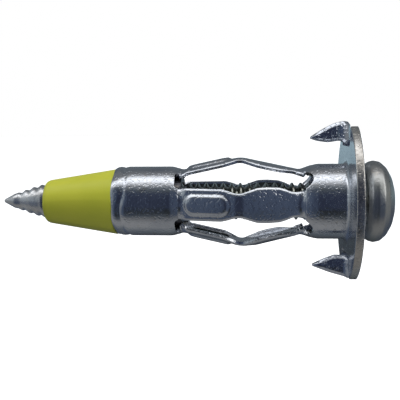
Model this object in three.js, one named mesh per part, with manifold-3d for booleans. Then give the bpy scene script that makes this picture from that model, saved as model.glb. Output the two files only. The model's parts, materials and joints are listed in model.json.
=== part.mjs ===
// Drive-in hollow wall anchor for thin boards, with its machine screw, in millimetres.
// +X runs along the anchor out of the wall towards the screw head, +Z is up, and the origin is the
// centre of the flange's wall-side face. The steel sleeve is one piece of sheet: flange, collar,
// four folding legs and nut barrel. It is split here at its fold lines, where it bends in use.
import * as THREE from 'three';
import { mergeVertices } from 'three/addons/utils/BufferGeometryUtils.js';
import { ParametricGeometry } from 'three/addons/geometries/ParametricGeometry.js';
import Module from 'manifold-3d';

const wasm = await Module();
wasm.setup();

// Sleeve sheet and folds
const sheet = 0.42;
const foldRadius = 2.79; // middle of the sheet at both ends of a leg
const kneeRadius = 3.84; // middle of the sheet at the knee
const collarFoldX = -4.45;
const nutFoldX = -14.85;
const foldGap = 0.08; // from a fold's axis to the end of the metal on each side
const foldBevel = 0.27; // relief on the outer corner, which closes as the leg opens
const kneeBevel = 0.54; // relief on the inner corner, which closes as the knee folds

// Flange, collar and prongs
const flangeRadius = 7.25;
const flangeThickness = 0.72;
const edgeRound = 0.13;
const collarRadius = 3.46;
const collarBore = 3.0;
const mouthRadius = 4.15; // where the rounded mouth of the collar meets the flange's flat outer face
const collarSlotEndX = -3.05;
const collarSlotHalf = 1.25;
const prongThickness = 0.65;
const prongFace = 1.7; // distance of the prong's outer face from the anchor's middle plane
const prongBend = 0.6;
const prongInner = 5.05;
const prongTipX = -3.15;
const prongTipZ = 5.75;
const prongWindowEnd = -2.4;
const bottomProngDrop = 0.4; // how much nearer the axis the bottom prong stands

// Nut barrel, captive nut and plastic tip
const barrelRadius = 3.2;
const barrelBore = 2.75;
const barrelRimX = -21.25;
const barrelSlotEndX = -15.55;
const barrelSlotHalf = 0.89;
const barrelSlotCorner = 0.35;
const nutCornerRadius = 2.67;
const nutStartX = -20.2;
const nutLength = 3.7;
const nutNeckRadius = 2.35;
const nutNeckEndX = -15.05;
const clearanceBore = 1.78;
const tipNoseX = -28.0;
const tipNoseRadius = 1.9;
const tipBaseRadius = 3.0;
const tipBaseX = barrelRimX - 0.07;
const spigotRadius = 2.67;
const spigotEndX = -20.3;

// Legs
const legHalf = 1.4;
const waistHalf = 1.03;
const ribStart = 0.35;
const ribEnd = 4.45;
const ribHalf = 0.92;
const ribRise = 0.26;
const ribGrooveHalf = 0.6;

// Screw, number 6 with 32 threads to the inch
const pitch = 25.4 / 32;
const crestRadius = 1.72;
const rootRadius = 1.28;
const pointX = -32.48;
const barePointX = -31.4;
const barePointRadius = 0.56;
const fullThreadX = -28.5;
const shankEndX = 2.0;
const threadSides = 14;
const headStartX = 1.25;
const headRadius = 3.72;
const headTopX = 4.38;
const recessWidth = 0.95;
const recessLength = 3.9;
const recessDepth = 1.7;

const roundSides = 36;
const flangeSides = 48;

const steel = { color: 0x6f7c90, roughness: 0.34, metalness: 1.0 };
const screwSteel = { color: 0x5d6058, roughness: 0.3, metalness: 1.0 };
const plastic = { color: 0xaab02c, roughness: 0.42, metalness: 0.0 };

// A closed manifold solid from a geometry, with shared corners merged and empty triangles dropped.
function solidOf(geometry) {
  const bare = new THREE.BufferGeometry();
  bare.setAttribute('position', geometry.attributes.position);
  bare.setIndex(geometry.index);
  const merged = mergeVertices(bare, 1e-4);
  const corners = merged.index.array;
  const kept = [];
  for (let i = 0; i < corners.length; i += 3) {
    const [a, b, c] = corners.slice(i, i + 3);
    if (a !== b && b !== c && c !== a) kept.push(a, b, c);
  }
  const mesh = new wasm.Mesh({
    numProp: 3,
    vertProperties: new Float32Array(merged.attributes.position.array),
    triVerts: new Uint32Array(kept),
  });
  return new wasm.Manifold(mesh);
}

function geometryOf(solid) {
  const { vertProperties, triVerts } = solid.getMesh();
  const geometry = new THREE.BufferGeometry();
  geometry.setAttribute('position', new THREE.BufferAttribute(vertProperties, 3));
  geometry.setIndex(new THREE.BufferAttribute(triVerts, 1));
  return geometry;
}

// A solid of revolution about the X axis. The profile is [x, radius] points, with x rising on its
// outer side, and it either closes on itself or starts and ends on the axis.
function turned(profile, sides) {
  const points = profile.map(([x, radius]) => new THREE.Vector2(radius, x));
  return solidOf(new THREE.LatheGeometry(points, sides).rotateZ(-Math.PI / 2));
}

// Ways to draw a prism's shape: the shape's own X and Y become the first two axes, and it is
// extruded along the third.
const axisX = new THREE.Vector3(1, 0, 0);
const axisY = new THREE.Vector3(0, 1, 0);
const axisZ = new THREE.Vector3(0, 0, 1);
const fromAbove = [axisX, axisY, axisZ];
const fromSide = [axisX, axisZ, axisY.clone().negate()];
const fromEnd = [axisY, axisZ, axisX];

function prism(shape, view, low, high) {
  const options = { depth: high - low, bevelEnabled: false, curveSegments: 8 };
  const turn = new THREE.Matrix4().makeBasis(...view);
  const extruded = new THREE.ExtrudeGeometry(shape, options).translate(0, 0, low);
  return solidOf(extruded.applyMatrix4(turn));
}

function polygon(points) {
  return new THREE.Shape(points.map(([x, y]) => new THREE.Vector2(x, y)));
}

// The same cutter, drawn from above, in each of the four gaps between the legs.
function cutBetweenLegs(body, cutter) {
  const gaps = [45, 135, 225, 315];
  return gaps.reduce((left, degrees) => left.subtract(cutter.rotate([degrees, 0, 0])), body);
}

// A prong's tab: lanced from the flange's rim, and bent round an upright line to point at the wall.
// Its section is the bent sheet seen from above, and its outline is the tab seen from the side.
const prongBack = prongFace + prongThickness;
const prongBendY = prongBack + prongBend;

function prong() {
  const section = new THREE.Shape();
  section.moveTo(prongTipX - 0.2, prongFace);
  section.lineTo(-prongBend, prongFace);
  section.absarc(-prongBend, prongBendY, prongBend + prongThickness, -Math.PI / 2, 0, false);
  section.lineTo(prongThickness, prongBendY + 0.3);
  section.lineTo(0, prongBendY + 0.3);
  section.lineTo(0, prongBendY);
  section.absarc(-prongBend, prongBendY, prongBend, 0, -Math.PI / 2, true);
  section.lineTo(prongTipX - 0.2, prongBack);
  const outline = new THREE.Shape();
  outline.moveTo(flangeThickness, prongInner);
  outline.lineTo(flangeThickness, 6.5);
  outline.quadraticCurveTo(0.5, 7.3, -0.4, 7.25);
  outline.quadraticCurveTo(-1.5, 7.1, prongTipX, prongTipZ + 0.1);
  outline.lineTo(prongTipX, prongTipZ - 0.1);
  outline.quadraticCurveTo(-1.9, 4.95, -0.9, 5.15);
  outline.lineTo(0, prongInner);
  const tab = prism(section, fromAbove, prongInner - 0.2, flangeRadius + 0.3);
  return tab.intersect(prism(outline, fromSide, -4, -1));
}

// The window in the flange that the tab leaves behind.
function prongWindow() {
  const window = polygon([
    [prongBendY, prongInner],
    [prongBendY, flangeRadius + 1],
    [prongWindowEnd, flangeRadius + 1],
    [prongWindowEnd, prongInner + 0.6],
    [prongWindowEnd + 0.7, prongInner],
  ]);
  return prism(window, fromEnd, -1, flangeThickness + 1);
}

function flangeAndCollar() {
  const foldEnd = collarFoldX + foldGap;
  const profile = [
    [foldEnd, foldRadius - sheet / 2],
    [foldEnd, foldRadius + sheet / 2],
    [-3.6, 3.26],
    [-3.0, collarRadius],
    [-0.5, collarRadius],
    [-0.15, collarRadius + 0.17],
    [0, collarRadius + 0.5],
    [0, flangeRadius - edgeRound],
    [edgeRound, flangeRadius],
    [flangeThickness - edgeRound, flangeRadius],
    [flangeThickness, flangeRadius - edgeRound],
    [flangeThickness, mouthRadius],
    [0.66, 3.72],
    [0.46, 3.3],
    [0.1, 3.05],
    [-0.35, collarBore],
    [-3.0, collarBore],
    [-3.6, 2.82],
    [foldEnd, foldRadius - sheet / 2],
  ];
  const slotStraightX = collarFoldX + 0.2;
  const slot = new THREE.Shape();
  slot.moveTo(collarFoldX - 2, -collarSlotHalf);
  slot.lineTo(slotStraightX, -collarSlotHalf);
  const slotRound = collarSlotEndX - slotStraightX;
  slot.absellipse(slotStraightX, 0, slotRound, collarSlotHalf, -Math.PI / 2, Math.PI / 2, false, 0);
  slot.lineTo(collarFoldX - 2, collarSlotHalf);
  const slotted = cutBetweenLegs(turned(profile, flangeSides), prism(slot, fromAbove, 1, 5));
  const atBottom = (solid) => solid.translate([0, 0, -bottomProngDrop]).rotate([180, 0, 0]);
  const windowed = slotted.subtract(prongWindow()).subtract(atBottom(prongWindow()));
  return windowed.add(prong()).add(atBottom(prong()));
}

function nutBarrel() {
  const foldEnd = nutFoldX - foldGap;
  const profile = [
    [barrelRimX, 2.83],
    [barrelRimX, 3.02],
    [-21.05, 3.12],
    [-20.4, barrelRadius],
    [-15.75, barrelRadius],
    [-15.35, 3.07],
    [foldEnd, foldRadius + sheet / 2],
    [foldEnd, foldRadius - sheet / 2],
    [-15.75, barrelBore],
    [-20.9, barrelBore],
    [barrelRimX, 2.83],
  ];
  const corner = barrelSlotEndX + barrelSlotCorner;
  const inside = barrelSlotHalf - barrelSlotCorner;
  const slot = new THREE.Shape();
  slot.moveTo(nutFoldX + 2, -barrelSlotHalf);
  slot.lineTo(nutFoldX + 2, barrelSlotHalf);
  slot.lineTo(corner, barrelSlotHalf);
  slot.quadraticCurveTo(barrelSlotEndX, barrelSlotHalf, barrelSlotEndX, inside);
  slot.lineTo(barrelSlotEndX, -inside);
  slot.quadraticCurveTo(barrelSlotEndX, -barrelSlotHalf, corner, -barrelSlotHalf);
  return cutBetweenLegs(turned(profile, roundSides), prism(slot, fromAbove, 1, 5));
}

// A hexagon nut that the barrel grips by its corners, with a round neck towards the legs.
function captiveNut() {
  const sixths = [0, 1, 2, 3, 4, 5].map((corner) => (corner * Math.PI) / 3);
  const hexagon = polygon(sixths.map((a) => [nutCornerRadius * Math.cos(a), nutCornerRadius * Math.sin(a)]));
  const bore = new THREE.Path();
  bore.absarc(0, 0, clearanceBore, 0, 2 * Math.PI, true);
  hexagon.holes.push(bore);
  const neckStartX = nutStartX + nutLength - 0.1;
  const neck = [
    [neckStartX, clearanceBore],
    [neckStartX, nutNeckRadius],
    [nutNeckEndX, nutNeckRadius],
    [nutNeckEndX, clearanceBore],
    [neckStartX, clearanceBore],
  ];
  return prism(hexagon, fromEnd, nutStartX, nutStartX + nutLength).add(turned(neck, roundSides));
}

function tipCone() {
  return turned(
    [
      [tipNoseX, clearanceBore],
      [tipNoseX, tipNoseRadius - 0.06],
      [tipNoseX + 0.1, tipNoseRadius],
      [tipBaseX, tipBaseRadius],
      [tipBaseX, spigotRadius],
      [spigotEndX, spigotRadius],
      [spigotEndX, clearanceBore],
      [tipNoseX, clearanceBore],
    ],
    roundSides,
  );
}

// Radius of the thread's crest or root at a place along the screw: a bare point, a taper, then full.
function threadRadius(x, onCrest) {
  if (x <= pointX || x >= shankEndX) return 0;
  if (x < barePointX) return (barePointRadius * (x - pointX)) / (barePointX - pointX);
  const grown = Math.min(1, (x - barePointX) / (fullThreadX - barePointX));
  const crest = barePointRadius + (crestRadius - barePointRadius) * grown;
  return onCrest ? crest : crest - (crestRadius - rootRadius) * grown;
}

// The thread is one strip, a pitch wide, wound round the axis so that its edges meet. It starts and
// ends with a turn of no radius, which closes it at the point and inside the head.
function threadedShank() {
  const startX = pointX - pitch;
  const steps = Math.ceil((shankEndX - startX) / pitch + 1) * threadSides;
  const strip = (along, across, target) => {
    const step = Math.round(along * steps);
    const angle = (2 * Math.PI * (step % threadSides)) / threadSides;
    const x = startX + pitch * (step / threadSides + across);
    const radius = threadRadius(x, across === 0.5);
    const place = THREE.MathUtils.clamp(x, pointX, shankEndX);
    target.set(place, radius * Math.cos(angle), radius * Math.sin(angle));
  };
  return solidOf(new ParametricGeometry(strip, steps, 2));
}

// A domed head with a cross recess, and the shank.
function screw() {
  const dome = [
    [headStartX, 0],
    [headStartX, 2.75],
    [1.42, 3.2],
    [1.85, 3.55],
    [2.35, headRadius],
    [2.95, 3.6],
    [3.5, 3.14],
    [3.95, 2.4],
    [4.22, 1.6],
    [headTopX - 0.03, 0.8],
    [headTopX, 0],
  ];
  const wing = new THREE.BoxGeometry(2 * recessDepth, recessLength, recessWidth);
  const recess = solidOf(wing.translate(headTopX, 0, 0));
  const crossed = recess.add(recess.rotate([90, 0, 0]));
  return turned(dome, roundSides).subtract(crossed).add(threadedShank());
}

// Legs: both halves have one length, so that the nut barrel travels straight along the axis.
const legSpan = (collarFoldX - nutFoldX) / 2;
const lean = Math.atan2(kneeRadius - foldRadius, legSpan);
const legLength = Math.hypot(kneeRadius - foldRadius, legSpan);

// Half the leg's width at places along it from its fold, drawn in to a waist at the knee, and on the
// collar half at the fold too.
const nutHalfWidths = [
  [0, legHalf],
  [3.6, legHalf],
  [4.4, 1.26],
  [5.0, 1.08],
  [legLength, waistHalf],
];
const collarHalfWidths = [
  [0, waistHalf],
  [0.5, waistHalf],
  [1.1, 1.22],
  [1.8, legHalf + 0.03],
  [3.6, legHalf + 0.03],
  [4.5, 1.26],
  [5.0, 1.08],
  [legLength, waistHalf],
];

// Half a leg, drawn along +X from its fold at the origin to its knee, with its outer face up.
function legHalfPlate(halfWidths) {
  const top = sheet / 2;
  const side = polygon([
    [foldGap, 0],
    [foldGap, -top],
    [legLength - foldGap - kneeBevel, -top],
    [legLength - foldGap, 0],
    [legLength - foldGap, top],
    [foldGap + foldBevel, top],
  ]);
  const nearEdge = halfWidths.map(([along, half]) => [along, -half]);
  const farEdge = [...halfWidths].reverse();
  const outline = polygon([...nearEdge, ...farEdge]);
  return prism(side, fromSide, -2, 2).intersect(prism(outline, fromAbove, -1, 1));
}

function ribPad(half, low, high) {
  const pad = new THREE.Shape();
  pad.absarc(ribStart + ribHalf, 0, half, Math.PI / 2, (3 * Math.PI) / 2, false);
  pad.absarc(ribEnd - ribHalf, 0, half, -Math.PI / 2, Math.PI / 2, false);
  return prism(pad, fromAbove, low, high);
}

// The nut half carries a stiffening rib, pressed outwards, with its groove on the inner face.
function ribbedHalfPlate() {
  const top = sheet / 2;
  const rib = ribPad(ribHalf, 0, top + ribRise);
  const groove = ribPad(ribGrooveHalf, -1, ribRise - top);
  return legHalfPlate(nutHalfWidths).add(rib).subtract(groove);
}

function named(name, geometry, look) {
  const mesh = new THREE.Mesh(geometry, new THREE.MeshStandardMaterial(look));
  mesh.name = name;
  return mesh;
}

// Both halves of one leg, standing out from the axis at the given angle about X from straight up.
function leg(side, degrees) {
  const group = new THREE.Group();
  group.rotation.x = THREE.MathUtils.degToRad(degrees);
  const nutHalf = named(`${side}_leg_nut_half`, geometryOf(ribbedHalfPlate()), steel);
  nutHalf.position.set(nutFoldX, 0, foldRadius);
  nutHalf.rotation.y = -lean;
  const collarHalf = named(`${side}_leg_collar_half`, geometryOf(legHalfPlate(collarHalfWidths)), steel);
  collarHalf.position.set(collarFoldX, 0, foldRadius);
  collarHalf.rotation.set(0, lean, Math.PI);
  group.add(nutHalf, collarHalf);
  return group;
}

const anchor = new THREE.Group();
anchor.add(
  named('flange_and_collar', geometryOf(flangeAndCollar()), steel),
  leg('top', 0),
  leg('near', 90),
  leg('bottom', 180),
  leg('far', 270),
  named('nut_barrel', geometryOf(nutBarrel()), steel),
  named('captive_nut', geometryOf(captiveNut()), steel),
  named('tip_cone', geometryOf(tipCone()), plastic),
  named('screw', geometryOf(screw()), screwSteel),
);

export default anchor;
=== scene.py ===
"""Looks of a drive-in hollow wall anchor: a pointed machine screw through a flanged steel sleeve
with four folding legs, and a plastic tip cone.

Shapes are worked out in millimetres in the row frame: +X runs out of the wall along the axis, +Z is
up, and the origin is the centre of the flange's wall-side face."""

import json
import math

import bpy
import numpy as np
from mathutils import Matrix, Vector


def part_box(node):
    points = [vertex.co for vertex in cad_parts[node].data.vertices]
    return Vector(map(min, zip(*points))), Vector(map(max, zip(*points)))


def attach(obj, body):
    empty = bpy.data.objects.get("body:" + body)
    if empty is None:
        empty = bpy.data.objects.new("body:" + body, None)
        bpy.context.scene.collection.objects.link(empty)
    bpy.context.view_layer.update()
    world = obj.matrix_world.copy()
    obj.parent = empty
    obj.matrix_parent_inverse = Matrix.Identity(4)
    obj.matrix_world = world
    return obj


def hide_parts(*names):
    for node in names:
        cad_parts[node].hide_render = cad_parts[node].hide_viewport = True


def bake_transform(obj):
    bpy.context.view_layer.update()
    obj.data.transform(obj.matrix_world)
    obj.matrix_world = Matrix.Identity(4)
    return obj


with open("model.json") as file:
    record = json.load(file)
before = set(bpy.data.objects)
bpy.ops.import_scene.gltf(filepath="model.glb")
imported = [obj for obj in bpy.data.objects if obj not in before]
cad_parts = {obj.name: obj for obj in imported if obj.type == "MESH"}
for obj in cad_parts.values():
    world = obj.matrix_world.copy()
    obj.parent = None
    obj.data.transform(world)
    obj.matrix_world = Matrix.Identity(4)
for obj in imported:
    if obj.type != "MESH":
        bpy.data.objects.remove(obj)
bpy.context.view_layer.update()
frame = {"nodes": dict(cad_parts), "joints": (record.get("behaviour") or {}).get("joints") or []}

MM = 0.001
fold_points = {joint["name"]: np.array(joint["pos_m"]) / MM for joint in frame["joints"]}
flange_high = np.array(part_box("flange_and_collar")[1]) / MM
barrel_low, barrel_high = (np.array(corner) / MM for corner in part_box("nut_barrel"))
screw_low, screw_high = (np.array(corner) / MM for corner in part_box("screw"))

# Sleeve: one sheet, given by the middle of its thickness
SHEET = 0.42
HALF_SHEET = SHEET / 2
COLLAR_FOLD_X, KNEE_X, NUT_FOLD_X = (
    fold_points[name][0] for name in ("near_collar_fold", "near_knee_fold", "near_nut_fold")
)
FOLD_RADIUS = -fold_points["near_collar_fold"][1]
KNEE_RADIUS = -fold_points["near_knee_fold"][1]
COLLAR_RADIUS = 3.46 - HALF_SHEET
BARREL_RADIUS = barrel_high[1] - HALF_SHEET + 0.06
RIM_X = barrel_low[0]
CRIMP_START, CRIMP_DEPTH = -20.1, 0.1
COLLAR_SLOT_APEX = -3.05
COLLAR_SLOT_ROUND = 1.15
COLLAR_SLOT_HALF = 1.0
BARREL_SLOT_END = -15.6
BARREL_SLOT_HALF = 0.84
BARREL_SLOT_CORNER = 0.3
COLLAR_SEAM_X = -3.7
BARREL_SEAM_X = -15.25
EDGE_WIDE, EDGE_DEEP, EDGE_FLATNESS = 0.22, 0.1, 1.7  # the sheared edge's rolled-over corner
ROW_STEP = 0.08
# Stiffening rib: where it starts and ends from the nut-end fold, its half-width, and its height
RIB_START, RIB_END, RIB_HALF = 0.2, 4.6, 1.0
RIB_RISE, RIB_SLOPE, RIB_CROWN = 0.14, 0.4, 0.1

FLANGE_RADIUS = flange_high[2]
FLANGE_THICK = flange_high[0]
FLANGE_CORNER = 0.13
COLLAR_ROOT = 0.5  # radius of the fillet between collar and flange
BOTTOM_PRONG_DROP = 0.4  # how much nearer the axis the bottom prong's window starts
SIDES = {"top": 0.0, "near": 90.0, "bottom": 180.0, "far": 270.0}
WIDTH_SHARES = {"top": 1.0, "near": 1.0, "bottom": 1.15, "far": 1.1}  # legs differ a little
LEG_CURVES = {"top": 4.6, "near": 4.6, "bottom": 3.1, "far": 4.6}  # radius of the bow across a leg

# Screw, number 6 with 32 threads to the inch
PITCH = 25.4 / 32
CREST, ROOT = 1.72, 1.3
POINT_X = screw_low[0]
POINT_TAPER_X = -27.6
BARE_END_X = -31.4  # beyond this the point has no thread
HEAD_START_X = 1.25
RECESS_DEPTH = 1.75
HEAD_TOP_X = screw_high[0] - 0.08


def smooth(share):
    """An S from 0 to 1: three times the square less twice the cube."""
    share = np.clip(share, 0, 1)
    return share * share * (3 - 2 * share)


def eased(points, reach, step=0.02):
    """A polyline of 2-D points with its corners rounded: it is walked in even steps, and each point
    becomes the weighted mean of the line within `reach` on both sides."""
    points = np.array(points, float)
    along = np.concatenate([[0], np.cumsum(np.hypot(*np.diff(points, axis=0).T))])
    places = np.linspace(0, along[-1], int(along[-1] / step) + 2)
    line = np.stack([np.interp(places, along, column) for column in points.T], axis=1)
    count = max(1, int(reach / step))
    window = np.hanning(2 * count + 3)[1:-1]
    padded = np.pad(line, ((count, count), (0, 0)), mode="reflect", reflect_type="odd")
    return np.stack([np.convolve(c, window / window.sum(), "valid") for c in padded.T], axis=1)


def table(points, reach):
    """A smooth function of x from a few [x, value] places, listed with x falling."""
    line = eased(points, reach)[::-1]
    return lambda x: np.interp(x, line[:, 0], line[:, 1])


# The middle of the sheet, as a radius for each x
sheet_radius = table(
    [
        [0.3, COLLAR_RADIUS],
        [-2.6, COLLAR_RADIUS],
        [-3.3, COLLAR_RADIUS - 0.15],
        [-4.15, FOLD_RADIUS],
        [COLLAR_FOLD_X, FOLD_RADIUS],
        [KNEE_X + 0.3, KNEE_RADIUS + 0.01],
        [KNEE_X - 0.3, KNEE_RADIUS + 0.01],
        [NUT_FOLD_X, FOLD_RADIUS],
        [-15.1, FOLD_RADIUS + 0.01],
        [-16.0, BARREL_RADIUS],
        [-20.0, BARREL_RADIUS],
        [-20.3, BARREL_RADIUS - 0.12],
        [-20.6, BARREL_RADIUS - 0.01],
        [-20.95, BARREL_RADIUS - 0.01],
        [RIM_X, BARREL_RADIUS - 0.15],
        [RIM_X - 0.5, BARREL_RADIUS - 0.32],
    ],
    0.3,
)


def sheet_slope(x):
    """Rise of the sheet's radius for each step along x, from the radius a little to either side."""
    near = 0.02
    return (sheet_radius(x + near) - sheet_radius(x - near)) / (2 * near)


# Half a leg's width, straight across
leg_width = table(
    [
        [0.3, 1.1],
        [-4.95, 1.1],
        [-5.5, 1.33],
        [-6.1, 1.51],
        [-7.2, 1.56],
        [-8.1, 1.51],
        [-8.9, 1.24],
        [-9.35, 1.07],
        [-9.75, 1.04],
        [-10.1, 1.1],
        [-10.6, 1.27],
        [-11.2, 1.42],
        [-16.5, 1.43],
    ],
    0.25,
)
# How far the strip has changed from the tube's own curve to the flatter curve across a leg
leg_bow = table(
    [
        [0, 0.0],
        [-4.0, 0.0],
        [-4.7, 1.0],
        [-9.1, 1.0],
        [-9.65, 1.3],
        [-10.2, 1.0],
        [-14.5, 1.0],
        [-15.15, 0.0],
        [-22, 0.0],
    ],
    0.2,
)


def slot_gap(x):
    """Half the gap between two legs: a half ellipse at the collar, a rounded square at the barrel."""
    from_round = (x - COLLAR_SLOT_APEX + COLLAR_SLOT_ROUND) / COLLAR_SLOT_ROUND
    collar = COLLAR_SLOT_HALF * np.sqrt(np.clip(1 - np.clip(from_round, 0, 1) ** 2, 0, 1))
    corner = np.clip(1 - (x - BARREL_SLOT_END) / BARREL_SLOT_CORNER, 0, 1)
    barrel = BARREL_SLOT_HALF - BARREL_SLOT_CORNER * (1 - np.sqrt(1 - corner**2))
    return np.where(x > KNEE_X, collar, barrel)


# How far the bottom leg stands out from where the others lie, mostly on the collar side of its knee
bottom_spring = table(
    [
        [0, 0.0],
        [-3.7, 0.0],
        [-4.5, 0.14],
        [-5.5, 0.18],
        [-8.3, 0.27],
        [-9.65, 0.1],
        [-11.2, -0.02],
        [-14.2, -0.04],
        [-14.8, 0.0],
        [-22, 0.0],
    ],
    0.2,
)


def strip_shape(x, side):
    """At each x: the sheet's radius, the radius of its bow across the leg, and half the strip's
    width measured on that bow. In the tube the bow is the tube itself, less the slots."""
    radius = sheet_radius(x)
    quarter = np.sin(np.pi / 4 - np.arcsin(slot_gap(x) / radius)) * radius
    on_leg = smooth((COLLAR_FOLD_X + 0.3 - x) / 0.4) * smooth((x - NUT_FOLD_X + 0.5) / 0.5)
    chord = quarter + (leg_width(x) * WIDTH_SHARES[side] - quarter) * on_leg
    leg_curve = 1 / (LEG_CURVES[side] * np.maximum(leg_bow(x), 1e-3))
    bow = 1 / (1 / radius + (leg_curve - 1 / radius) * np.clip(leg_bow(x), 0, 1))
    return radius, bow, bow * np.arcsin(np.clip(chord / bow, -1, 1))


def rib_rise(x, across):
    """How far the stiffening rib stands out: a pill on the nut half whose sides slope smoothly, and
    whose top is slightly crowned."""
    along = (x - NUT_FOLD_X) * math.hypot(1, (KNEE_RADIUS - FOLD_RADIUS) / (KNEE_X - NUT_FOLD_X))
    middle, reach = (RIB_START + RIB_END) / 2, (RIB_END - RIB_START) / 2 - RIB_HALF
    distance = np.hypot(np.maximum(np.abs(along - middle) - reach, 0), across)
    crown = RIB_CROWN * (1 - np.minimum(distance / RIB_HALF, 1) ** 2)
    return RIB_RISE * smooth((RIB_HALF - distance) / RIB_SLOPE) + crown


def turned_to(points, degrees):
    """Points of the top leg turned about the X axis to another leg's side."""
    angle = math.radians(degrees)
    x, y, z = np.moveaxis(points, -1, 0)
    return np.stack(
        [x, y * math.cos(angle) - z * math.sin(angle), z * math.cos(angle) + y * math.sin(angle)], -1
    )


def on_sheet(side, x, across, out, push):
    """A point of a leg's sheet, in the top leg's place: at x, a distance across the leg on its bow,
    a distance out from the middle of the sheet, and a push along the sheet."""
    radius, bow, _ = strip_shape(x, side)
    slope = sheet_slope(x)
    stretch = np.hypot(1, slope)
    out = out + rib_rise(x, across)
    if side == "bottom":
        out = out + bottom_spring(x)
    reach = bow + (out + push * slope) / stretch
    turn = across / bow
    return np.stack(
        np.broadcast_arrays(
            x + (push - out * slope) / stretch,
            reach * np.sin(turn),
            radius - bow + reach * np.cos(turn),
        ),
        -1,
    )


def grid_faces(rows, columns, around=False):
    """Quads of a grid of points in rows, closed across its columns when `around` is set."""
    row = np.arange(rows - 1)[:, None] * columns
    column = np.arange(columns if around else columns - 1)[None, :]
    beside = (column + 1) % columns
    quads = [row + column, row + beside, row + columns + beside, row + columns + column]
    return np.stack(quads, -1).reshape(-1, 4)


def welded(points, faces, nearness=3):
    """Points that agree to so many decimals made one, and the faces that collapsed dropped."""
    _, first, where = np.unique(
        np.round(points, nearness), axis=0, return_index=True, return_inverse=True
    )
    faces = where.reshape(-1)[np.asarray(faces)]
    corners = [len(set(face)) for face in faces.tolist()]
    kept = [list(dict.fromkeys(face)) for face, count in zip(faces.tolist(), corners) if count > 2]
    return points[first], kept


def volume(points, faces):
    """Signed volume by the divergence rule, over fans of triangles."""
    total = 0.0
    for size in {len(face) for face in faces}:
        some = np.array([face for face in faces if len(face) == size])
        for k in range(1, size - 1):
            a, b, c = points[some[:, 0]], points[some[:, k]], points[some[:, k + 1]]
            total += np.einsum("ij,ij->", a, np.cross(b, c)) / 6
    return total


def piece(name, points, faces, material, sharp=35, closed=True):
    """A mesh object from points in millimetres, its faces turned outwards and shaded smooth up to
    the sharp angle."""
    faces = [list(map(int, face)) for face in faces]
    if closed and volume(points, faces) < 0:
        faces = [face[::-1] for face in faces]
    mesh = bpy.data.meshes.new(name)
    mesh.from_pydata((points * MM).tolist(), [], faces)
    mesh.shade_smooth()
    mesh.set_sharp_from_angle(angle=math.radians(sharp))
    mesh.materials.append(material)
    made = bpy.data.objects.new(name, mesh)
    bpy.context.scene.collection.objects.link(made)
    return made


def settle(made, sharp=35):
    """Applies the piece's modifiers, so that its mesh is final before it rides a body."""
    graph = bpy.context.evaluated_depsgraph_get()
    mesh = bpy.data.meshes.new_from_object(made.evaluated_get(graph))
    made.modifiers.clear()
    made.data = mesh
    mesh.shade_smooth()
    mesh.set_sharp_from_angle(angle=math.radians(sharp))
    return made


def face_centres(made):
    """The middle of each face, in millimetres."""
    centres = np.zeros(len(made.data.polygons) * 3)
    made.data.polygons.foreach_get("center", centres)
    return centres.reshape(-1, 3) / MM


def joined(*parts):
    """Several sets of points and faces as one."""
    points, faces, start = [], [], 0
    for some_points, some_faces in parts:
        points.append(some_points.reshape(-1, 3))
        faces += [[corner + start for corner in face] for face in np.asarray(some_faces).tolist()]
        start += len(points[-1])
    return np.concatenate(points), faces


def turned(profile, sides):
    """Points and quads of a profile of [x, radius] carried round the X axis."""
    angle = 2 * np.pi * np.arange(sides) / sides
    x, radius = np.array(profile).T
    points = np.stack(
        np.broadcast_arrays(x[:, None], -radius[:, None] * np.sin(angle), radius[:, None] * np.cos(angle)), -1
    )
    return points.reshape(-1, 3), grid_faces(len(x), sides, around=True)


def cut(made, cutter):
    """Takes the cutter's shape out of a piece."""
    tool = made.modifiers.new("cut", "BOOLEAN")
    tool.object = cutter
    tool.solver = "EXACT"
    settle(made)
    bpy.data.objects.remove(cutter)
    return made


# ---- Finishes ----

def material_nodes(name):
    """A new material with its node tree, its shader, and the place on the piece to paint by."""
    material = bpy.data.materials.new(name)
    material.use_nodes = True
    nodes = material.node_tree.nodes
    shader = nodes["Principled BSDF"]
    place = nodes.new("ShaderNodeTexCoord")
    return material, material.node_tree, shader, place.outputs["Object"]


def noise(tree, place, scale, detail=3.0, stretch=(1, 1, 1)):
    """Cloudy noise, `scale` cells to the metre."""
    mapping = tree.nodes.new("ShaderNodeMapping")
    mapping.inputs["Scale"].default_value = stretch
    tree.links.new(place, mapping.inputs["Vector"])
    texture = tree.nodes.new("ShaderNodeTexNoise")
    texture.inputs["Scale"].default_value = scale
    texture.inputs["Detail"].default_value = detail
    tree.links.new(mapping.outputs[0], texture.inputs["Vector"])
    return texture.outputs["Fac"]


def ranged(tree, value, low, high, to_low, to_high):
    """A value carried in a straight line from one range to another, and held at its ends."""
    node = tree.nodes.new("ShaderNodeMapRange")
    for socket, number in zip(node.inputs[1:5], (low, high, to_low, to_high)):
        socket.default_value = number
    tree.links.new(value, node.inputs[0])
    return node.outputs[0]


def between(tree, share, first, second, blend="MIX"):
    """A colour between two, by a share, or by a share of their brighter or darker blend."""
    node = tree.nodes.new("ShaderNodeMix")
    node.data_type = "RGBA"
    node.blend_type = blend
    colours = [socket for socket in node.inputs if socket.type == "RGBA"]
    for socket, colour in zip(colours, (first, second)):
        if isinstance(colour, tuple):
            socket.default_value = (*colour, 1)
        else:
            tree.links.new(colour, socket)
    tree.links.new(share, node.inputs[0])
    return next(socket for socket in node.outputs if socket.type == "RGBA")


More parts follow.
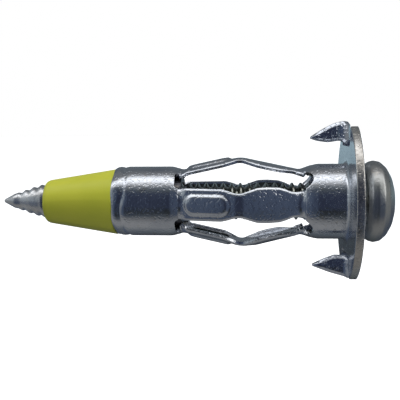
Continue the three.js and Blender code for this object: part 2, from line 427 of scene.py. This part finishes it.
def bumped(tree, shader, heights):
    """Stacks bumps from [height, strength, depth in metres] on the shader."""
    previous = None
    for height, strength, depth in heights:
        node = tree.nodes.new("ShaderNodeBump")
        node.inputs["Strength"].default_value = strength
        node.inputs["Distance"].default_value = depth
        tree.links.new(height, node.inputs["Height"])
        if previous:
            tree.links.new(previous, node.inputs["Normal"])
        previous = node.outputs[0]
    tree.links.new(previous, shader.inputs["Normal"])


def zinc_plate(name, light, dark, rough, grain=0.35, scratch=0.3, stain=(0.55, 0.5, 0.42)):
    """Bright zinc plate on rolled steel: clouded colour with a few dull stains, fine orange-peel
    grain with scattered pits, a slow waviness, and short scratches along the sheet."""
    material, tree, shader, place = material_nodes(name)
    shader.inputs["Metallic"].default_value = 1.0
    cloud = ranged(tree, noise(tree, place, 420, 4), 0.35, 0.65, 0, 1)
    stained = ranged(tree, noise(tree, place, 1500, 4), 0.6, 0.75, 0, 0.5)
    clouded = between(tree, cloud, light, dark)
    tree.links.new(between(tree, stained, clouded, stain), shader.inputs["Base Color"])
    speckle = noise(tree, place, 5200, 2)
    wave = noise(tree, place, 1300, 2)
    pits = ranged(tree, noise(tree, place, 4200, 1), 0.56, 0.7, 1, 0)
    streak = noise(tree, place, 2600, 3, (0.12, 1, 1))
    tree.links.new(ranged(tree, speckle, 0.3, 0.7, rough[0], rough[1]), shader.inputs["Roughness"])
    heights = [
        (wave, grain * 0.7, 0.00003),
        (speckle, grain * 0.8, 0.00002),
        (pits, grain * 1.4, 0.00002),
        (streak, scratch, 0.00001),
    ]
    bumped(tree, shader, heights)
    return material


def tip_plastic():
    """Moulded yellow-green plastic: slightly cloudy, with a soft gloss and a faint flow grain."""
    material, tree, shader, place = material_nodes("tip_plastic")
    shader.inputs["Specular IOR Level"].default_value = 0.35
    shader.inputs["Subsurface Weight"].default_value = 0.08
    shader.inputs["Subsurface Radius"].default_value = (0.0006, 0.0006, 0.0002)
    cloud = ranged(tree, noise(tree, place, 300, 3), 0.35, 0.65, 0, 1)
    tree.links.new(
        between(tree, cloud, (0.54, 0.55, 0.05), (0.5, 0.52, 0.045)), shader.inputs["Base Color"]
    )
    grain = noise(tree, place, 3800, 3)
    tree.links.new(ranged(tree, grain, 0.3, 0.7, 0.3, 0.42), shader.inputs["Roughness"])
    bumped(tree, shader, [(grain, 0.15, 0.00002), (noise(tree, place, 500, 2), 0.2, 0.00005)])
    return material


SLEEVE_STEEL = zinc_plate("sleeve_steel", (0.68, 0.7, 0.73), (0.54, 0.57, 0.62), (0.08, 0.2), 0.42, 0.3)
SCREW_STEEL = zinc_plate("screw_steel", (0.40, 0.41, 0.37), (0.34, 0.35, 0.31), (0.22, 0.34), 0.2, 0.15)
# The bare point gets a much lighter copy of the screw's steel: painted light, for the light the point catches
# beyond the cone.
LIT_POINT_STEEL = zinc_plate("point_steel_painted_light", (0.8, 0.82, 0.84), (0.6, 0.6, 0.6), (0.22, 0.34), 0.25, 0.2)
PRONG_STEEL = zinc_plate("prong_steel", (0.68, 0.71, 0.76), (0.5, 0.53, 0.6), (0.1, 0.2), 1.0, 0.4)
HEAD_STEEL = zinc_plate("head_steel", (0.5, 0.5, 0.49), (0.42, 0.43, 0.41), (0.27, 0.36), 0.25, 0.2)
SHEARED_STEEL = zinc_plate("sheared_steel", (0.72, 0.7, 0.66), (0.5, 0.47, 0.43), (0.2, 0.35), 0.5, 0.6)
# The captive nut's steel is near black: painted shade, for the shade inside the barrel seen through the
# slots.
SHADED_NUT_STEEL = zinc_plate("nut_steel", (0.16, 0.16, 0.17), (0.1, 0.1, 0.11), (0.35, 0.5))
PLASTIC = tip_plastic()


# ---- Sleeve ----

def section_loop(columns=27, turns=6):
    """The strip's section as [share of the flat half-width, share of the rounded edge, out]."""
    flat = np.linspace(-1, 1, columns)
    arc = np.linspace(0, np.pi / 2, turns)[1:]
    up, side = HALF_SHEET - EDGE_DEEP, 1.0
    corner = [(math.sin(a) ** EDGE_FLATNESS, abs(math.cos(a)) ** EDGE_FLATNESS) for a in arc]
    outer = [(share, 0.0, HALF_SHEET) for share in flat]
    right = [(side, across, up + EDGE_DEEP * out) for across, out in corner]
    under_right = [(side, across, -up - EDGE_DEEP * out) for out, across in corner[:-1]]
    half = outer + right + [(side, 1.0, -up)] + under_right
    return np.array(half + [(-share, -edge, -out) for share, edge, out in half])


SECTION = section_loop()


def leg_strip(name, side, from_x, to_x, knuckle_from=False, knuckle_to=False):
    """A strip of the leg between two places: the section carried along x, with flat ends, or ends
    rounded to half the sheet about a fold's line."""
    count = int(abs(to_x - from_x) / ROW_STEP) + 2
    x = np.linspace(from_x, to_x, count)
    push, thin = np.zeros(count), np.ones(count)
    arc = np.linspace(0, np.pi / 2, 7)[1:] * 0.97
    forward = np.sign(to_x - from_x)
    if knuckle_to:
        x, push, thin = (
            np.append(x, np.full(len(arc), to_x)),
            np.append(push, forward * HALF_SHEET * np.sin(arc)),
            np.append(thin, np.cos(arc)),
        )
    if knuckle_from:
        x, push, thin = (
            np.append(np.full(len(arc), from_x), x),
            np.append(-forward * HALF_SHEET * np.sin(arc[::-1]), push),
            np.append(np.cos(arc[::-1]), thin),
        )
    x, push, thin = x[:, None], push[:, None], thin[:, None]
    share, edge, out = SECTION.T
    width = strip_shape(x, side)[2]
    points = on_sheet(side, x, share * (width - EDGE_WIDE) + edge * EDGE_WIDE, out * thin, push)
    points = turned_to(points, SIDES[side])
    rows, columns = points.shape[:2]
    faces = grid_faces(rows, columns, around=True).tolist()
    first, last = np.arange(columns)[::-1], (rows - 1) * columns + np.arange(columns)
    return piece(name, points.reshape(-1, 3), faces + [first.tolist(), last.tolist()], SLEEVE_STEEL)


def crimp(x, angle):
    """How far the barrel's end is pressed in, deepest on six flats round the cone's spigot: a cosine
    of six times the angle, that fades in along x."""
    depth = smooth((CRIMP_START - x) / 0.4) * CRIMP_DEPTH
    return depth * (0.5 - 0.5 * np.cos(6 * angle))


def rim_wander(x, angle):
    """How far the groove behind the rim wanders along the axis, from uneven crimping: two sines of
    the angle, that fade out at the rim and along the barrel."""
    near_rim = smooth((CRIMP_START + 0.5 - x) / 0.4) * smooth((x - RIM_X) / 0.5)
    return near_rim * (0.17 * np.sin(3 * angle + 2.0) + 0.07 * np.sin(8 * angle))


def tube_patch(x, low, high, columns):
    """A grid on the tube between two angles at each x, measured from straight up."""
    share = np.linspace(0, 1, columns)[None, :]
    angle = low[:, None] + (high - low)[:, None] * share
    radius = sheet_radius(x[:, None] + rim_wander(x[:, None], angle)) - crimp(x[:, None], angle)
    points = np.stack(
        np.broadcast_arrays(x[:, None], -radius * np.sin(angle), radius * np.cos(angle)), -1
    )
    return points.reshape(-1, 3), grid_faces(len(x), columns)


def slotted_tube(name, whole_x, slotted_x, node):
    """The sheet tube with its four slot ends: on each side a patch as wide as the leg's root, and
    between the sides a patch that stops at the slot."""
    x = np.concatenate([whole_x, slotted_x])
    radius = sheet_radius(x)
    gap = np.where(np.arange(len(x)) < len(whole_x), slot_gap(slotted_x[0]), slot_gap(x))
    half = np.pi / 4 - np.arcsin(gap / radius)
    parts = []
    for degrees in SIDES.values():
        middle = math.radians(degrees)
        parts.append(tube_patch(x, middle - half, middle + half, 33))
        if gap[0] > 1e-6:
            here = slice(0, len(whole_x) + 1)
            parts.append(
                tube_patch(x[here], middle + half[here], middle + np.pi / 2 - half[here], 13)
            )
    points, faces = welded(*joined(*parts))
    made = piece(name, points, faces, SLEEVE_STEEL, closed=False)
    wall = made.modifiers.new("wall", "SOLIDIFY")
    wall.thickness = SHEET * MM
    wall.offset = 0.0
    edges = made.modifiers.new("edges", "BEVEL")
    edges.width = 0.05 * MM
    edges.segments = 2
    edges.limit_method = "ANGLE"
    edges.angle_limit = math.radians(50)
    settle(made)
    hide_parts(node)
    return made


def collar_tube():
    """The collar, from inside the flange to the legs' roots, with a half-elliptical slot end between
    each two legs."""
    round_turn = np.linspace(0, np.pi / 2, 22)
    slotted = COLLAR_SLOT_APEX - COLLAR_SLOT_ROUND * (1 - np.cos(round_turn))
    slotted = np.append(slotted[slotted > COLLAR_SEAM_X + 0.02], COLLAR_SEAM_X)
    whole = np.arange(-0.25, COLLAR_SLOT_APEX - 1e-6, -ROW_STEP)
    made = slotted_tube("collar_tube", whole, slotted, "flange_and_collar")
    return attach(made, "flange_end")


def barrel_tube():
    """The barrel, from its crimped rim to the legs' roots, with a rounded square slot end between
    each two legs."""
    corner_turn = np.linspace(0, np.pi / 2, 9)
    slotted = BARREL_SLOT_END + BARREL_SLOT_CORNER * (1 - np.cos(corner_turn))
    slotted = np.append(slotted[slotted < BARREL_SEAM_X - 0.02], BARREL_SEAM_X)
    whole = np.arange(RIM_X, BARREL_SLOT_END - 0.02, 0.07)
    made = slotted_tube("barrel_tube", whole, slotted, "nut_barrel")
    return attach(made, "nut_end")


# The hole that a prong leaves in the flange, as (across, distance from the axis)
PRONG_WINDOW = [(2.95, 5.05), (2.95, 9.0), (-2.4, 9.0), (-2.4, 5.65), (-2.22, 5.23), (-1.8, 5.05)]


def flange_disc():
    """The flange, turned in one with the rounded root of the collar, with a window cut for each
    prong."""
    rim, fillet = FLANGE_CORNER, COLLAR_ROOT
    corner = np.linspace(0, np.pi / 2, 6)
    root = [
        (-fillet + fillet * math.sin(a), 3.92 - fillet * math.cos(a)) for a in np.linspace(0, np.pi / 2, 10)
    ]
    outer = [(rim - rim * math.cos(a), FLANGE_RADIUS - rim + rim * math.sin(a)) for a in corner]
    front = [
        (FLANGE_THICK - rim + rim * math.sin(a), FLANGE_RADIUS - rim + rim * math.cos(a)) for a in corner
    ]
    mouth = [
        (-fillet + (FLANGE_THICK + fillet) * math.cos(a), 4.2 - 1.2 * math.sin(a))
        for a in np.linspace(0, np.pi / 2, 12)
    ]
    faces_x = np.linspace(4.1, FLANGE_RADIUS - rim, 8)[:-1]
    wall = [(0.0, r) for r in faces_x]
    fixture = [(FLANGE_THICK, r) for r in faces_x[::-1]]
    profile = root + wall + outer + front + fixture + mouth
    points, faces = turned(profile + [profile[0]], 192)
    points, faces = welded(points, faces)
    made = piece("flange_disc", points, faces, SLEEVE_STEEL)
    for side, drop in (("top", 0.0), ("bottom", BOTTOM_PRONG_DROP)):
        ends = np.array([[(x, y, z - drop) for y, z in PRONG_WINDOW] for x in (-1.0, 2.0)])
        ends = turned_to(ends, SIDES[side])
        count = len(PRONG_WINDOW)
        sides = grid_faces(2, count, around=True).tolist()
        caps = [list(range(count))[::-1], list(range(count, 2 * count))]
        cut(made, piece("window", ends.reshape(-1, 3), sides + caps, SLEEVE_STEEL))
    made.data.materials.append(SHEARED_STEEL)
    centres = face_centres(made)
    on_rim = np.hypot(centres[:, 1], centres[:, 2]) > FLANGE_RADIUS - rim * 0.4
    made.data.polygons.foreach_set("material_index", on_rim.astype(np.int32))
    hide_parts("flange_and_collar")
    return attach(made, "flange_end")


PRONG_THICK = 0.62
PRONG_TIP_X = -3.15
PRONG_INNER_Y = 1.7
PRONG_INNER_BEND = 0.6
PRONG_GROUND = 0.32  # how far in from its edges a prong is ground thinner
# The prongs' edges, far from the axis and near it, as [x, distance]
TOP_PRONG_EDGES = (
    [[1.0, 7.2], [-0.1, 7.34], [-0.9, 7.15], [-1.9, 6.67], [-3.15, 5.88], [-3.6, 5.6]],
    [[1.0, 5.1], [0.2, 5.2], [-0.4, 5.5], [-1.5, 5.34], [-2.5, 5.48], [-3.15, 5.7], [-3.6, 5.84]],
)
BOTTOM_PRONG_EDGES = (
    [[1.0, 6.2], [0.38, 6.38], [0.1, 6.72], [-0.2, 6.6], [-1.7, 6.18], [-3.15, 5.64], [-3.6, 5.4]],
    [[1.0, 4.65], [0.0, 4.65], [-1.2, 4.58], [-2.2, 4.97], [-3.15, 5.42], [-3.6, 5.6]],
)


def prong(name, turn, edges):
    """A lanced prong: its path leaves the flange's plane and bends back along -X, and at each place
    a ten-cornered section with ground edges stands between its two outlines."""
    middle_y = PRONG_INNER_Y + PRONG_THICK / 2
    bend = PRONG_INNER_BEND + PRONG_THICK / 2
    corner_y = middle_y + bend
    middle_x = FLANGE_THICK / 2 + 0.02
    angle = np.linspace(0, np.pi / 2, 12)
    path = np.concatenate(
        [
            np.stack([np.full(4, middle_x), np.linspace(corner_y + 0.4, corner_y + 0.05, 4)], 1),
            np.stack([middle_x - bend + bend * np.cos(angle), corner_y - bend * np.sin(angle)], 1),
            np.stack([np.linspace(middle_x - bend - 0.08, PRONG_TIP_X, 30), np.full(30, middle_y)], 1),
        ]
    )
    x, y = path.T
    tangent = np.gradient(path, axis=0)
    tangent /= np.linalg.norm(tangent, axis=1)[:, None]
    beside = np.stack([-tangent[:, 1], tangent[:, 0]], 1)
    high, low = (table(edge, 0.25)(x) for edge in edges)
    tip = np.clip((x - PRONG_TIP_X) / 0.5, 0, 1)
    thick = PRONG_THICK / 2 * (0.35 + 0.65 * np.sqrt(tip))
    middle = (high + low) / 2
    edge = np.minimum(PRONG_GROUND, (high - low) * 0.3)
    loop = [
        (high, 0, -0.25), (high, 0, 0.25), (high, -1, 1.0), (middle, 0, 1.0), (low, 1, 1.0),
        (low, 0, 0.25), (low, 0, -0.25), (low, 1, -1.0), (middle, 0, -1.0), (high, -1, -1.0),
    ]
    corners = []
    for height, inward, out in loop:
        place = path + beside * (out * thick)[:, None]
        corners.append(np.stack([place[:, 0], place[:, 1], height + inward * edge], 1))
    points = np.stack(corners, 1)
    points = turned_to(points, turn)
    rows, columns = points.shape[:2]
    faces = grid_faces(rows, columns, around=True).tolist()
    ends = [list(range(columns))[::-1], list(range((rows - 1) * columns, rows * columns))]
    made = piece(name, points.reshape(-1, 3), faces + ends, PRONG_STEEL, sharp=60)
    worn = made.modifiers.new("worn", "BEVEL")
    worn.width = 0.035 * MM
    worn.segments = 2
    worn.limit_method = "ANGLE"
    worn.angle_limit = math.radians(22)
    settle(made, 60)
    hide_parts("flange_and_collar")
    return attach(made, "flange_end")


def blend_at(made):
    """Bakes the piece's place into its mesh."""
    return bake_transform(made)


COLLAR_MID_X = (COLLAR_FOLD_X + KNEE_X) / 2
NUT_MID_X = KNEE_X - 0.62


def legs():
    """Each leg as strips that meet end to end: across the collar fold, across the knee, and on to
    the barrel. The near leg is whole at its nut-end fold. The others end there in a rounded knuckle,
    and a stub on the barrel meets it."""
    for side in SIDES:
        collar_body, nut_body = f"{side}_collar_half", f"{side}_nut_half"
        root = leg_strip(f"{side}_leg_collar_bend", side, COLLAR_SEAM_X, COLLAR_MID_X)
        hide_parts(f"{side}_leg_collar_half")
        blend_at(root)
        knee = leg_strip(f"{side}_leg_knee", side, COLLAR_MID_X, NUT_MID_X)
        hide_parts(f"{side}_leg_collar_half", f"{side}_leg_nut_half")
        blend_at(knee)
        if side == "near":
            ribbed = leg_strip(f"{side}_leg_nut_bend", side, NUT_MID_X, BARREL_SEAM_X)
            blend_at(ribbed)
        else:
            ribbed = leg_strip(f"{side}_leg_nut_half_rib", side, NUT_MID_X, NUT_FOLD_X, knuckle_to=True)
            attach(ribbed, nut_body)
            stub = leg_strip(f"{side}_leg_root", side, NUT_FOLD_X, BARREL_SEAM_X, knuckle_from=True)
            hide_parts("nut_barrel")
            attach(stub, "nut_end")
        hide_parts(f"{side}_leg_nut_half")


# ---- Tip cone and screw ----

CONE_NOSE_X = -28.08
CONE_NOSE_RADIUS = 2.1  # where the taper meets the rounded nose
CONE_DROP = 0.06  # the cone hangs a little below the axis, within its clearance on the screw
CONE_BORE = CREST + CONE_DROP + 0.02


def tip_cone():
    """The cone, turned: a straight taper, a nose rounded as a quarter ellipse, a bore that clears the
    thread, and the spigot inside the barrel."""
    base_x, base_radius = RIM_X - 0.04, BARREL_RADIUS + 0.04
    lip_radius, nose_length, nose_width = CONE_BORE + 0.01, 0.75, 2.108 - CONE_BORE
    nose = [
        (CONE_NOSE_X + nose_length * (1 - math.sin(a)), lip_radius + nose_width * math.cos(a))
        for a in np.linspace(0.36, 1.5, 12)
    ]
    lip = [(CONE_NOSE_X, lip_radius), (CONE_NOSE_X + 0.08, CONE_BORE), (CONE_NOSE_X + 0.4, CONE_BORE + 0.02)]
    profile = [(base_x, base_radius - 0.4), (base_x, base_radius - 0.05), (base_x - 0.05, base_radius)]
    taper = [
        (x, base_radius + (CONE_NOSE_RADIUS - base_radius) * (x - base_x) / (CONE_NOSE_X + 0.5 - base_x))
        for x in np.linspace(base_x - 0.1, CONE_NOSE_X + 0.54, 40)
    ]
    inside = [(-20.4, CONE_BORE + 0.02), (-20.3, CONE_BORE + 0.08), (-20.3, 2.5), (-20.4, 2.6)]
    loop = profile + taper + nose + lip + inside
    points, faces = turned(loop + [loop[0]], 128)
    points, faces = welded(points - [0, 0, CONE_DROP], faces)
    made = piece("tip_cone_moulding", points, faces, PLASTIC)
    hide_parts("tip_cone")
    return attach(made, "nut_end")


def thread_height(across):
    """Share of the thread's height across one pitch: root, flank, crest, flank, root."""
    return np.interp(across, [0, 0.1, 0.42, 0.58, 0.9, 1], [0, 0, 1, 1, 0, 0])


def screw_shank():
    """The thread is one strip, a pitch wide, wound round the axis so that its edges meet. It tapers
    to a bare point, and near the point its crests are pinched flat on two sides."""
    sides, start_x, end_x = 40, POINT_X - PITCH, 2.0
    low_thread = 0.14
    steps = int((end_x - start_x) / PITCH + 1) * sides
    step = np.arange(steps + 1)[:, None]
    across = np.array([0, 0.1, 0.26, 0.42, 0.5, 0.58, 0.74, 0.9, 1])[None, :]
    angle = 2 * np.pi * (step % sides) / sides + 0 * across
    x = start_x + PITCH * (step / sides + across)
    tapered = [[POINT_TAPER_X, CREST], [-28.5, 1.6], [-29.6, 1.3], [BARE_END_X, 0.68], [POINT_X + 0.1, 0.18]]
    crest = table([[3, CREST], *tapered, [POINT_X, 0.08], [POINT_X - 1.5, 0.0]], 0.1)(x)
    depth = low_thread * smooth((x - BARE_END_X) / 0.8)
    depth = depth + (CREST - ROOT - low_thread) * smooth((x - CONE_NOSE_X + 0.3) / 0.9)
    pinch = smooth((-27.9 - x) / 0.8) * np.minimum(1, 1.5 * np.cos(angle) ** 2)
    radius = crest - depth + depth * thread_height(across) * (1 - pinch)
    radius = np.where((x <= POINT_X) | (x >= end_x), 0, radius)
    x = np.clip(x, POINT_X, end_x)
    points = np.stack([x, radius * np.cos(angle), radius * np.sin(angle)], -1).reshape(-1, 3)
    points, faces = welded(points, grid_faces(steps + 1, across.size))
    made = piece("screw_shank", points, faces, SCREW_STEEL)
    # Faces beyond the cone's nose take the lighter point steel: painted light on the bare point.
    made.data.materials.append(LIT_POINT_STEEL)
    bare = face_centres(made)[:, 0] < CONE_NOSE_X
    made.data.polygons.foreach_set("material_index", bare.astype(np.int32))
    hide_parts("screw")
    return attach(made, "screw")


def recess_cutter():
    """The cross recess as two tapered wings at right angles, narrower at the bottom."""
    top, bottom = screw_high[0] + 0.4, screw_high[0] - RECESS_DEPTH
    parts = []
    for turn in (0.0, 90.0):
        rings = [(bottom - 0.2, 0.55, 0.3), (bottom, 0.8, 0.36), (top, 2.1, 0.52)]
        corners = [(-1, -1), (1, -1), (1, 1), (-1, 1)]
        points = np.array([[(x, a * long, b * wide) for a, b in corners] for x, long, wide in rings])
        points = turned_to(points, turn)
        faces = grid_faces(3, 4, around=True).tolist() + [[3, 2, 1, 0], [8, 9, 10, 11]]
        parts.append((points.reshape(-1, 3), faces))
    return [piece("wing", points, faces, SCREW_STEEL) for points, faces in parts]


def screw_head():
    """The domed head, turned, with a cross recess."""
    outline = eased(
        [
            [HEAD_START_X, 2.2], [HEAD_START_X, 2.85], [1.5, 3.3], [1.95, 3.62], [2.4, 3.74], [2.95, 3.62],
            [3.47, 3.16], [3.9, 2.42], [4.15, 1.6], [4.27, 0.8], [HEAD_TOP_X, 0.0],
        ],
        0.16,
        0.07,
    )
    outline = np.vstack([[[HEAD_START_X, 0.0]], outline])
    outline[-1] = [HEAD_TOP_X, 0.0]
    points, faces = turned(outline, 128)
    points, faces = welded(points, faces)
    made = piece("screw_head", points, faces, HEAD_STEEL)
    for wing in recess_cutter():
        cut(made, wing)
    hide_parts("screw")
    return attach(made, "screw")


# ---- Stage ----

# What the metal mirrors, as [degrees about the anchor's axis, brightness, tint]: 0 is level towards
# the viewer, 90 is straight up, and 180 is level behind the anchor
NEUTRAL, SLATE = (1.0, 1.01, 1.03), (0.88, 1.0, 1.12)
NAVY, TEAL = (0.7, 0.85, 1.42), (0.78, 1.05, 1.2)
ROOM = [
    (-180, 0.46, TEAL), (-175, 0.3, TEAL), (-170, 0.05, SLATE), (-152, 0.04, SLATE),
    (-130, 0.1, SLATE), (-113, 0.15, SLATE), (-90, 0.26, NEUTRAL), (-72, 0.26, NEUTRAL),
    (-56, 0.19, NEUTRAL), (-45, 0.09, SLATE), (-35, 0.04, SLATE), (-26, 0.03, SLATE),
    (-13, 0.05, NAVY), (0, 0.045, NAVY), (27, 0.055, NAVY), (41, 0.1, SLATE), (50, 0.2, SLATE),
    (58, 0.36, NEUTRAL), (68, 0.95, NEUTRAL), (76, 1.65, NEUTRAL), (86, 1.65, NEUTRAL),
    (93, 0.95, NEUTRAL), (100, 0.35, NEUTRAL), (106, 0.24, NEUTRAL), (129, 0.15, SLATE),
    (155, 0.17, SLATE), (168, 0.12, SLATE), (175, 0.25, TEAL), (180, 0.46, TEAL),
]
WINDOW = (0.8, -0.39, 0.45)  # the direction of a small bright window that the screw head mirrors
WINDOW_LIGHT = (1.95, 1.95, 1.97)
LEANING_GREY = (0.085, 0.11, 0.165)
END_GREY = (0.26, 0.27, 0.28)
POINT_WALL = (0.36, 0.4, 0.43)


def calculated(tree, operation, *values):
    """A Math node on sockets or plain numbers."""
    node = tree.nodes.new("ShaderNodeMath")
    node.operation = operation
    for socket, value in zip(node.inputs, values):
        if isinstance(value, (int, float)):
            socket.default_value = value
        else:
            tree.links.new(value, socket)
    return node.outputs[0]


def studio():
    """A white room seen directly, that the metal sees as a bright strip overhead between dark
    screens, with grey ends, a window past the head and a pale wall past the point."""
    world = bpy.data.worlds.new("studio")
    bpy.context.scene.world = world
    world.use_nodes = True
    tree = world.node_tree
    tree.nodes.clear()
    place = tree.nodes.new("ShaderNodeTexCoord")
    split = tree.nodes.new("ShaderNodeSeparateXYZ")
    tree.links.new(place.outputs["Generated"], split.inputs[0])
    towards = calculated(tree, "MULTIPLY", split.outputs["Y"], -1.0)
    turn = calculated(tree, "ARCTAN2", split.outputs["Z"], towards)
    ramp = tree.nodes.new("ShaderNodeValToRGB")
    steps = ramp.color_ramp.elements
    while len(steps) < len(ROOM):
        steps.new(0.5)
    for step, (degrees, bright, tint) in zip(steps, ROOM):
        step.position = (degrees + 180) / 360
        step.color = (*(bright * share for share in tint), 1)
    tree.links.new(ranged(tree, turn, -math.pi, math.pi, 0, 1), ramp.inputs[0])
    endwise = calculated(tree, "ABSOLUTE", split.outputs["X"])
    leaning = ranged(tree, endwise, 0.15, 0.45, 0, 0.8)
    side_on = between(tree, leaning, ramp.outputs["Color"], LEANING_GREY, "LIGHTEN")
    head_on = between(tree, ranged(tree, endwise, 0.75, 1, 0, 1), side_on, END_GREY)
    point_side = ranged(tree, split.outputs["X"], -0.55, -0.8, 0, 1)
    point_above = ranged(tree, split.outputs["Z"], -0.1, 0.15, 0.1, 1)
    point_on = calculated(tree, "MULTIPLY", point_side, point_above)
    beyond_point = between(tree, point_on, head_on, POINT_WALL, "LIGHTEN")
    nearness = tree.nodes.new("ShaderNodeVectorMath")
    nearness.operation = "DOT_PRODUCT"
    tree.links.new(place.outputs["Generated"], nearness.inputs[0])
    nearness.inputs[1].default_value = WINDOW
    window = ranged(tree, nearness.outputs["Value"], 0.93, 0.985, 0, 1)
    mirrored = between(tree, window, beyond_point, WINDOW_LIGHT, "LIGHTEN")
    seen = tree.nodes.new("ShaderNodeLightPath")
    view = between(tree, seen.outputs["Is Camera Ray"], mirrored, (1.0, 1.0, 1.0))
    background = tree.nodes.new("ShaderNodeBackground")
    output = tree.nodes.new("ShaderNodeOutputWorld")
    tree.links.new(view, background.inputs["Color"])
    tree.links.new(background.outputs[0], output.inputs[0])
    bpy.context.scene.view_settings.view_transform = "Standard"


def soft_light(name, place, size, power):
    """A square lamp that shines at the anchor and that the metal doesn't mirror."""
    lamp = bpy.data.lights.new(name, "AREA")
    lamp.size = size
    lamp.energy = power
    made = bpy.data.objects.new(name, lamp)
    away = Vector(place)
    made.matrix_world = Matrix.Translation(away) @ away.to_track_quat("Z", "Y").to_matrix().to_4x4()
    made.visible_glossy = False
    made.visible_camera = False
    bpy.context.scene.collection.objects.link(made)


def floor():
    """A wide pale floor, well below the anchor, that the metal doesn't mirror."""
    material, _, shader, _ = material_nodes("pale_floor")
    shader.inputs["Base Color"].default_value = (0.9, 0.9, 0.9, 1)
    shader.inputs["Roughness"].default_value = 0.9
    shader.inputs["Emission Color"].default_value = (1, 1, 1, 1)
    shader.inputs["Emission Strength"].default_value = 0.75
    mesh = bpy.data.meshes.new("floor")
    reach, level = 3.0, -0.04
    corners = [(-reach, -reach, level), (reach, -reach, level), (reach, reach, level), (-reach, reach, level)]
    mesh.from_pydata(corners, [], [(0, 1, 2, 3)])
    mesh.materials.append(material)
    made = bpy.data.objects.new("floor", mesh)
    made.visible_glossy = False
    made.visible_diffuse = False
    bpy.context.scene.collection.objects.link(made)


def camera():
    """Aimed near the anchor's middle from in front, a little above and a little towards the head,
    and rolled a hair."""
    lens = bpy.data.cameras.new("camera")
    lens.lens = 57.45
    lens.sensor_width = 36.0
    lens.shift_y = 0.0025
    lens.clip_start, lens.clip_end = 0.001, 50.0
    made = bpy.data.objects.new("camera", lens)
    bpy.context.scene.collection.objects.link(made)
    azimuth, elevation, roll, distance = (
        math.radians(5.715), math.radians(6.656), math.radians(-0.587), 0.060,
    )
    aim = Vector((-0.01345, 0.0, 0.0))
    level = math.cos(elevation)
    back = Vector((math.sin(azimuth) * level, -math.cos(azimuth) * level, math.sin(elevation)))
    turn = (-back).to_track_quat("-Z", "Y").to_matrix().to_4x4() @ Matrix.Rotation(roll, 4, "Z")
    made.matrix_world = Matrix.Translation(aim + back * distance) @ turn
    bpy.context.scene.camera = made


camera()
studio()
soft_light("lamp_overhead", (-0.02, -0.05, 0.2), 0.2, 0.25)
soft_light("lamp_fill", (0.0, -0.15, -0.12), 0.2, 0.27)
floor()
collar_tube()
barrel_tube()
flange_disc()
prong("top_prong", 0.0, TOP_PRONG_EDGES)
prong("bottom_prong", 180.0, BOTTOM_PRONG_EDGES)
legs()
tip_cone()
screw_shank()
screw_head()
nut = frame["nodes"]["captive_nut"]
# The nut takes the near-black steel: painted shade inside the barrel.
nut.data.materials.clear()
nut.data.materials.append(SHADED_NUT_STEEL)
